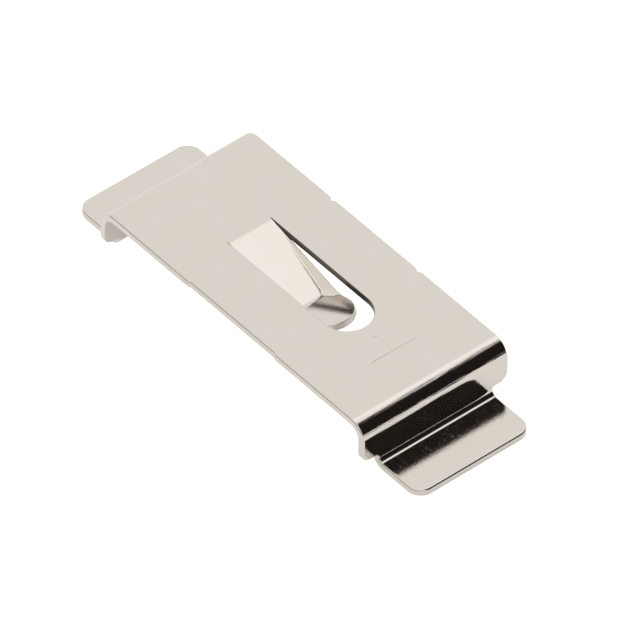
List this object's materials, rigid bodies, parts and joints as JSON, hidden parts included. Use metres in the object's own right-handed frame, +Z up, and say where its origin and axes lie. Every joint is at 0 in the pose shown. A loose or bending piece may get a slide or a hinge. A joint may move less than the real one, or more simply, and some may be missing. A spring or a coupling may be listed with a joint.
{
  "type": "coin cell holder",
  "caption": "Folded sheet-metal coin cell holder: a plate on end walls with solder feet and a sprung contact finger, for surface mounting.",
  "frame": {"origin": "on the board, under the middle of the plate: the centre of the bounding box's bottom face", "axes": "+X along the strip from the finger's bend line towards its tip, +Y across the strip, +Z up from the board"},
  "size_m": [0.0282, 0.01, 0.0034],
  "materials": {
    "plated_steel": "bright plated spring steel, close to a mirror"
  },
  "bodies": {
    "root": {"retainer": "plated_steel"}
  },
  "joints": []
}
